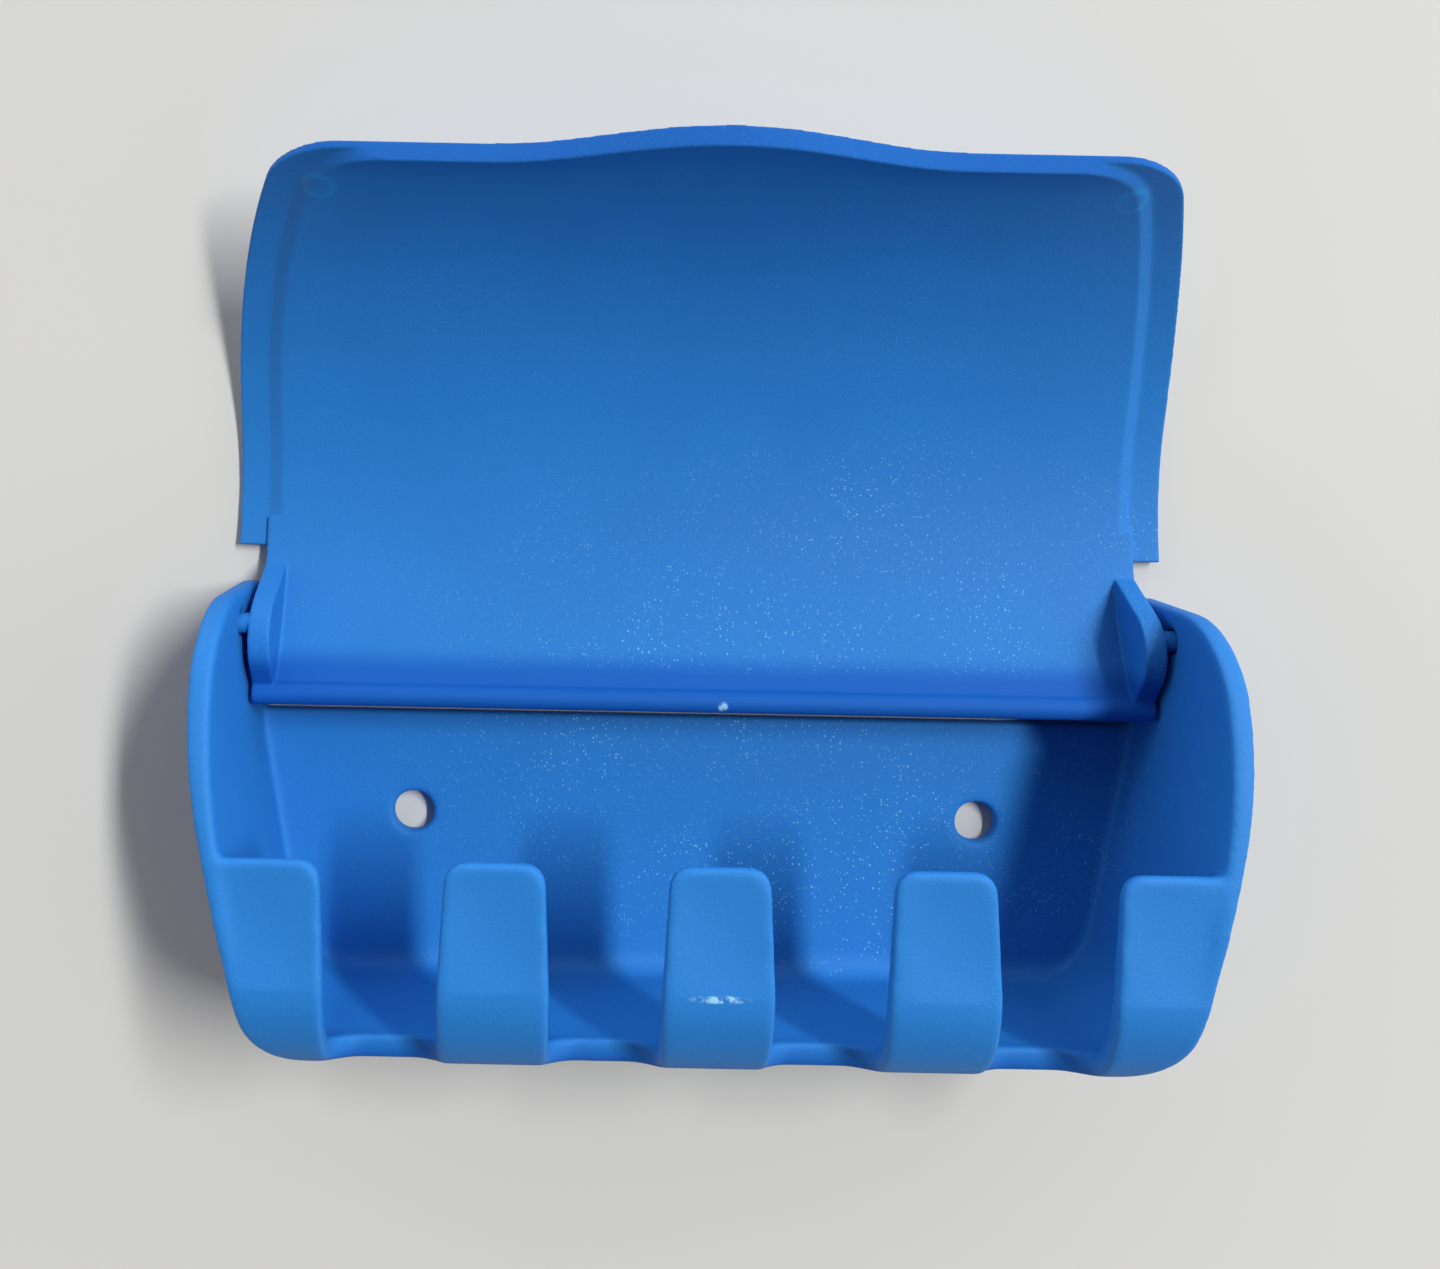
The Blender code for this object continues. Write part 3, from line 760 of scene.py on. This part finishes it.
def noise(tree, places, scale, detail, roughness=0.5):
    """Soft noise over places; returns its value."""
    node = tree.nodes.new("ShaderNodeTexNoise")
    for label, given in (("Vector", places), ("Scale", scale), ("Detail", detail),
                         ("Roughness", roughness)):
        feed(tree, node.inputs[label], given)
    return node.outputs["Fac"]


def kept_share(tree, name):
    """A number that the mesh keeps for its points."""
    node = tree.nodes.new("ShaderNodeAttribute")
    node.attribute_name = name
    return node.outputs["Fac"]


def grain_group():
    """Shader group: moulded grain, its glints and soft uneven tone, on object places."""
    tree, group_in, group_out = new_group(
        "moulded_grain", "ShaderNodeTree", (("Vector", "Vector"), ("Size", "Float")),
        (("Height", "Float"), ("Glints", "Float"), ("Tone", "Float")))
    places = group_in.outputs["Vector"]
    calc = partial(math_node, tree)
    per_metre = calc("DIVIDE", 1.0, group_in.outputs["Size"])
    height = noise(tree, places, per_metre, GRAIN_DETAIL, GRAIN_ROUGHNESS)
    cells = tree.nodes.new("ShaderNodeTexVoronoi")
    tree.links.new(places, cells.inputs["Vector"])
    tree.links.new(calc("MULTIPLY", per_metre, GLINT_CELLS), cells.inputs["Scale"])
    pick = tree.nodes.new("ShaderNodeSeparateColor")
    tree.links.new(cells.outputs["Color"], pick.inputs["Color"])
    chosen = calc("GREATER_THAN", pick.outputs["Red"], 1.0 - GLINT_SHARE)
    width = calc("MULTIPLY_ADD", pick.outputs["Green"], GLINT_SPREAD, GLINT_LEAST)
    share = calc("DIVIDE", cells.outputs["Distance"], width)
    dome = calc("SUBTRACT", 1.0, calc("MINIMUM", calc("MULTIPLY", share, share), 1.0))
    tone = noise(tree, places, PATCH_SCALE, PATCH_DETAIL)
    patch = map_range(tree, tone, PATCH_SPAN, (PATCH_LEAST, 1.0))
    glints = calc("MULTIPLY", calc("MULTIPLY", chosen, dome), patch)
    for label, value in (("Height", height), ("Glints", glints), ("Tone", tone)):
        tree.links.new(value, group_out.inputs[label])
    return tree


def near_group():
    """Shader group: a mask that is 1 near a place and falls to 0 at a reach."""
    tree, group_in, group_out = new_group(
        "near_a_place", "ShaderNodeTree",
        (("Vector", "Vector"), ("Place", "Vector"), ("Reach", "Vector")), (("Mask", "Float"),))
    away = group_in.outputs["Vector"]
    for operation, label in (("SUBTRACT", "Place"), ("DIVIDE", "Reach")):
        node = tree.nodes.new("ShaderNodeVectorMath")
        node.operation = operation
        tree.links.new(away, node.inputs[0])
        tree.links.new(group_in.outputs[label], node.inputs[1])
        away = node.outputs["Vector"]
    distance = tree.nodes.new("ShaderNodeVectorMath")
    distance.operation = "LENGTH"
    tree.links.new(away, distance.inputs[0])
    mask = map_range(tree, distance.outputs["Value"], (1.0, NEAR_FULL), smooth=True)
    tree.links.new(mask, group_out.inputs["Mask"])
    return tree


def use_group(tree, name, maker):
    """A node of a shared shader group, which is built once."""
    node = tree.nodes.new("ShaderNodeGroup")
    node.node_tree = bpy.data.node_groups.get(name) or maker()
    return node


def mix_colour(tree, share, first, second):
    """Mix two colours, each a socket or a value."""
    node = tree.nodes.new("ShaderNodeMix")
    node.data_type = "RGBA"
    for index, value in zip(MIX_INPUTS, (share, first, second)):
        feed(tree, node.inputs[index], value)
    return node.outputs[MIX_RESULT]


def near(tree, vector, place, reach):
    """Mask of a spot on the piece, in the piece's own places."""
    node = use_group(tree, "near_a_place", near_group)
    tree.links.new(vector, node.inputs["Vector"])
    node.inputs["Place"].default_value = place
    node.inputs["Reach"].default_value = reach
    return node.outputs["Mask"]


def below(tree, places, top, fade):
    """Mask of all that lies below a height up the wall, in the piece's own places."""
    height = split_vector(tree, places)["Y"]
    return map_range(tree, height, (top + fade, top), smooth=True)


def new_material(name):
    """A material; returns it with its tree, its shader and the object's own places."""
    material = bpy.data.materials.new(name)
    material.use_nodes = True
    tree = material.node_tree
    places = tree.nodes.new("ShaderNodeTexCoord").outputs["Object"]
    return material, tree, tree.nodes["Principled BSDF"], places


def plastic(name, look, sparkle, scuffs, rings, strip_top, bead_top):
    """Blue moulded plastic: grain with painted glints, paler edges that are partly wear and partly painted
    highlight, a lip and a strip by the hinge painted deeper blue as shade, scuffs, ejector rings, and a
    smooth strip and bead.
    """
    material, tree, shader, places = new_material(name)
    calc = partial(math_node, tree)
    grain = use_group(tree, "moulded_grain", grain_group)
    tree.links.new(places, grain.inputs["Vector"])
    grain.inputs["Size"].default_value = look.grain
    strip = below(tree, places, strip_top, STRIP_FADE)
    bead = below(tree, places, bead_top, BEAD_FADE)
    grained = calc("SUBTRACT", 1.0, strip)
    # Glints are denser where the lamp's highlight falls.
    dense = calc("MULTIPLY_ADD", near(tree, places, *sparkle), 1.0 - GLINT_ELSEWHERE, GLINT_ELSEWHERE)
    glints = calc("MULTIPLY", calc("MULTIPLY", grain.outputs["Glints"], grained), dense)
    worn_and_highlit = map_range(tree, kept_share(tree, "edge"), WEAR_AND_HIGHLIGHT_SPAN, (0.0, WEAR_AND_HIGHLIGHT_MOST))
    lip = kept_share(tree, "lip")

    deep = [value * DEEP_SHARE for value in look.blue[:3]] + [1.0]
    tone = mix_colour(tree, grain.outputs["Tone"], deep, look.blue)
    # Paler edges: partly wear, partly painted highlight.
    tone = mix_colour(tree, worn_and_highlit, tone, look.edge_blue)
    # Painted shade: the strip by the hinge is mixed to a deeper blue.
    tone = mix_colour(tree, strip, tone, look.strip_painted_shade_blue)
    # Painted shade: the lip's outward face is mixed to a deeper blue.
    tone = mix_colour(tree, calc("MULTIPLY", lip, LIP_PAINTED_SHADE_MIX), tone, look.lip_painted_shade_blue)
    # Painted highlight: glint specks mixed to a paler blue.
    tone = mix_colour(tree, glints, tone, look.glint)
    for place, reach in scuffs:
        torn = map_range(tree, noise(tree, places, SCRATCH_SCALE, SCRATCH_DETAIL), SCRATCH_SPAN)
        share = calc("MULTIPLY", torn, near(tree, places, place, reach))
        tone = mix_colour(tree, share, tone, look.scuff)
    height = calc("MULTIPLY", grain.outputs["Height"], grained)
    for place in rings:
        outer = near(tree, places, place, [RING_RADIUS] * 3)
        inner = near(tree, places, place, [RING_RADIUS * RING_INNER] * 3)
        ring = calc("SUBTRACT", outer, inner)
        tone = mix_colour(tree, calc("MULTIPLY", ring, RING_MIX), tone, look.edge_blue)
        height = calc("ADD", height, outer)
    tree.links.new(tone, shader.inputs["Base Color"])

    height = calc("ADD", height, calc("MULTIPLY", glints, GLINT_HEIGHT))
    rough = map_range(tree, grain.outputs["Height"], ROUGH_SPAN,
                      [look.roughness + change for change in ROUGH_CHANGES])
    dull = calc("MULTIPLY_ADD", lip, LIP_ROUGHNESS, calc("MULTIPLY", rough, grained))
    plain = calc("MULTIPLY", strip, STRIP_ROUGHNESS)
    less = calc("MULTIPLY", bead, STRIP_ROUGHNESS - BEAD_ROUGHNESS)
    shine = calc("ADD", less, calc("MULTIPLY", glints, GLINT_SHINE))
    finish = calc("SUBTRACT", calc("ADD", dull, plain), shine)
    tree.links.new(finish, shader.inputs["Roughness"])
    bump = tree.nodes.new("ShaderNodeBump")
    bump.inputs["Strength"].default_value = GRAIN_STRENGTH
    bump.inputs["Distance"].default_value = GRAIN_DEPTH
    tree.links.new(height, bump.inputs["Height"])
    tree.links.new(bump.outputs["Normal"], shader.inputs["Normal"])
    shader.inputs["IOR"].default_value = PLASTIC_IOR
    shader.inputs["Specular IOR Level"].default_value = PLASTIC_SPECULAR
    return material


def floor_material(look):
    """Pale matt table top with a faint unevenness."""
    material, tree, shader, places = new_material("pale_table")
    darker = [value * CLOUD_SHADE for value in look.floor[:3]] + [1.0]
    cloud = noise(tree, places, CLOUD_SCALE, CLOUD_DETAIL)
    tree.links.new(mix_colour(tree, cloud, darker, look.floor), shader.inputs["Base Color"])
    shader.inputs["Roughness"].default_value = TABLE_ROUGHNESS
    shader.inputs["Specular IOR Level"].default_value = 0.0
    return material


class HOLDER_OT_tray(bpy.types.Operator):
    """Build the tray: plate, cheeks, floor and fingers in one moulding"""
    bl_idname = "holder.tray"
    bl_label = "Build tray"

    def execute(self, context):
        tray = context.scene.holder_tray
        fingers = context.scene.holder_fingers
        look = context.scene.holder_plastic
        scuff = (0.0, tray.plate_top - tray.bend_start - SCUFF_PAST_BEND, tray.depth - SCUFF_SINK)
        material = plastic("tray_plastic", look, PLATE_SPARKLE, [(scuff, SCUFF_REACH)], [],
                           tray.floor_out, tray.floor_out)
        piece = prism("tray", [plan_outline(tray, False)], "Z", 0.0, tray.depth + MARGIN)
        reach = tray.half_width + MARGIN
        boolean(piece, prism("profile", [side_outline(tray)], "X", -reach, reach), "INTERSECT")
        inner = plan_outline(tray, True)
        hollow = prism("hollow", [inner], "Z", -MARGIN, tray.depth + MARGIN)
        inside = hollow_outline(tray, fingers)
        inner_profile = prism("inner_profile", [inside], "X", -tray.half_width, tray.half_width)
        boolean(piece, boolean(hollow, inner_profile, "INTERSECT"), "DIFFERENCE")
        slots = in_a_row(slot_cutter(tray, fingers), fingers.slots, fingers.pitch, material)
        boolean(piece, slots, "DIFFERENCE")
        hole = prism("screw_hole", [circle((0.0, 0.0), tray.hole_diameter / 2)], "Z", -MARGIN,
                     tray.depth / 2)
        boolean(piece, in_a_row(hole, 2, tray.hole_spacing, material), "DIFFERENCE")
        socket_out = tray.half_width - tray.cheek_wall + tray.socket_depth
        socket = circle((HINGE.y, HINGE.z), tray.socket_radius)
        boolean(piece, prism("sockets", [socket], "X", -socket_out, socket_out), "DIFFERENCE")
        soften(piece, look, look.rounding)
        dish_fingers(piece.data, tray, fingers)
        finish_piece(piece, material)
        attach(piece, "body")
        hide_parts("holder_body")
        return {"FINISHED"}


class HOLDER_OT_lid(bpy.types.Operator):
    """Build the lid: arched sheet, hinge bead, ears and pins in one moulding"""
    bl_idname = "holder.lid"
    bl_label = "Build lid"

    def execute(self, context):
        tray = context.scene.holder_tray
        lid = context.scene.holder_lid
        look = context.scene.holder_plastic
        centre, notch_angle, sheet_length, hinge_angle = lid_numbers(tray, lid)
        ring_angle = notch_angle + (sheet_length - RING_FROM_LIP) / lid.radius
        ring_y, ring_z = on_arch(lid, centre, ring_angle, lid.thickness)
        rings = [(side * RING_ACROSS, ring_y, ring_z) for side in (-1, 1)]
        bead_y, bead_z = on_arch(lid, centre, hinge_angle, lid.thickness / 2)
        gate = (GATE_ACROSS, bead_y - GATE_DROP, bead_z + lid.bead_radius)
        material = plastic("lid_plastic", look, LID_SPARKLE, [(gate, GATE_REACH)], rings,
                           STRIP_TOP, BEAD_TOP)
        sheet = link("lid", bpy.data.meshes.new("lid"))
        modifier = sheet.modifiers.new("arch", "NODES")
        modifier.node_group = arched_tree()
        set_inputs(modifier, {label_of(name): getattr(lid, name) for name in SHEET_SIZES})
        set_inputs(modifier, {
            "Half width": tray.half_width, "Centre": centre, "Start angle": notch_angle,
            "Length": sheet_length, "Columns": LID_FACETS, "Rows": LID_FACETS, "Material": material})
        apply(sheet)

        half = tray.half_width - tray.cheek_wall - lid.side_play
        narrow = hinge_edge_outline(lid, centre, notch_angle, hinge_angle)
        boolean(sheet, prism("hinge_edge", [narrow], "X", -half, half), "UNION")
        bead = circle((bead_y, bead_z), lid.bead_radius)
        boolean(sheet, prism("bead", [bead], "X", -half, half), "UNION")
        ear = ear_outline(lid, centre, notch_angle, hinge_angle)
        pin = circle((HINGE.y, HINGE.z), lid.pin_radius)
        pin_out = tray.half_width - tray.cheek_wall + lid.pin_reach
        for side in (-1, 1):
            low, high = sorted((side * half, side * (half - lid.ear_thickness)))
            boolean(sheet, prism("ear", [ear], "X", low, high), "UNION")
            low, high = sorted((side * (half - lid.ear_thickness / 2), side * pin_out))
            boolean(sheet, prism("pin", [pin], "X", low, high), "UNION")
        soften(sheet, look, max(look.rounding // LID_SHARPER, 1))
        mark_lip(sheet.data, lid, centre)
        finish_piece(sheet, material)
        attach(sheet, "lid")
        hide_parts("hinged_lid")
        return {"FINISHED"}


class HOLDER_OT_studio(bpy.types.Operator):
    """Set up the pale table, the lamp, the sky and the camera"""
    bl_idname = "holder.studio"
    bl_label = "Build studio"

    def execute(self, context):
        look = context.scene.holder_studio
        bm = bmesh.new()
        bmesh.ops.create_grid(bm, x_segments=2, y_segments=2, size=TABLE_REACH)
        mesh = bpy.data.meshes.new("table")
        bm.to_mesh(mesh)
        bm.free()
        table = link("table", mesh)
        table.location.z = -TABLE_DROP
        mesh.materials.append(floor_material(look))

        lamp_data = bpy.data.lights.new("tube_lamp", "AREA")
        lamp_data.shape = "RECTANGLE"
        lamp_data.size = LAMP_WIDTH * LAMP_HEIGHT
        lamp_data.size_y = LAMP_LENGTH * LAMP_HEIGHT
        lamp_data.energy = LAMP_POWER
        link("tube_lamp", lamp_data).location = Vector(LAMP_PLACE) * LAMP_HEIGHT
        world = bpy.data.worlds.new("studio")
        context.scene.world = world
        world.use_nodes = True
        tree = world.node_tree
        sky = tree.nodes["Background"]
        sky.inputs["Color"].default_value = SKY_COLOUR
        towards = split_vector(tree, tree.nodes.new("ShaderNodeTexCoord").outputs["Generated"])
        low = math_node(tree, "MULTIPLY_ADD", towards["Y"], look.sky_slant * look.sky_low, look.sky_low)
        rest = math_node(tree, "SUBTRACT", 2.0, towards["Z"])
        rise = math_node(tree, "MULTIPLY", towards["Z"], rest)
        strength = map_range(tree, rise, (0.0, 1.0), (low, look.sky_top))
        tree.links.new(strength, sky.inputs["Strength"])

        camera_data = bpy.data.cameras.new("camera")
        camera = link("camera", camera_data)
        camera.location = (look.camera_x, look.camera_y, look.camera_height)
        camera.rotation_euler = (0.0, 0.0, look.turn)
        camera_data.sensor_width = SENSOR_WIDTH
        camera_data.lens = look.focal_pixels / PHOTO_WIDTH * SENSOR_WIDTH
        camera_data.shift_x = (PHOTO_WIDTH / 2 - look.axis_x) / PHOTO_WIDTH
        camera_data.shift_y = (look.axis_y - PHOTO_HEIGHT / 2) / PHOTO_WIDTH
        camera_data.clip_start = CLIP_START
        context.scene.camera = camera
        context.scene.view_settings.view_transform = "Standard"
        return {"FINISHED"}


class HOLDER_PT_panel(bpy.types.Panel):
    """The holder's sizes, finish and build steps"""
    bl_idname = "HOLDER_PT_panel"
    bl_label = "Brush head holder"
    bl_space_type = "VIEW_3D"
    bl_region_type = "UI"
    bl_category = "Brush Holder"

    def draw(self, context):
        for group, operator in (("holder_tray", "holder.tray"), ("holder_fingers", None),
                                ("holder_lid", "holder.lid"), ("holder_plastic", None),
                                ("holder_studio", "holder.studio")):
            box = self.layout.box()
            settings = getattr(context.scene, group)
            for name in settings.__annotations__:
                box.prop(settings, name)
            if operator:
                box.operator(operator)


SETTINGS = {
    "holder_tray": TraySizes,
    "holder_fingers": FingerSizes,
    "holder_lid": LidSizes,
    "holder_plastic": PlasticLook,
    "holder_studio": StudioLook,
}
CLASSES = tuple(SETTINGS.values()) + (HOLDER_OT_tray, HOLDER_OT_lid, HOLDER_OT_studio, HOLDER_PT_panel)


def register():
    """Register the classes and put their settings on the scene."""
    for cls in CLASSES:
        bpy.utils.register_class(cls)
    for name, cls in SETTINGS.items():
        setattr(bpy.types.Scene, name, bpy.props.PointerProperty(type=cls))


def unregister():
    """Take the settings and the classes away again."""
    for name in SETTINGS:
        delattr(bpy.types.Scene, name)
    for cls in reversed(CLASSES):
        bpy.utils.unregister_class(cls)


def main():
    """Build every piece, then the studio."""
    register()
    bpy.ops.holder.tray()
    bpy.ops.holder.lid()
    bpy.ops.holder.studio()


if __name__ == "__main__":
    main()
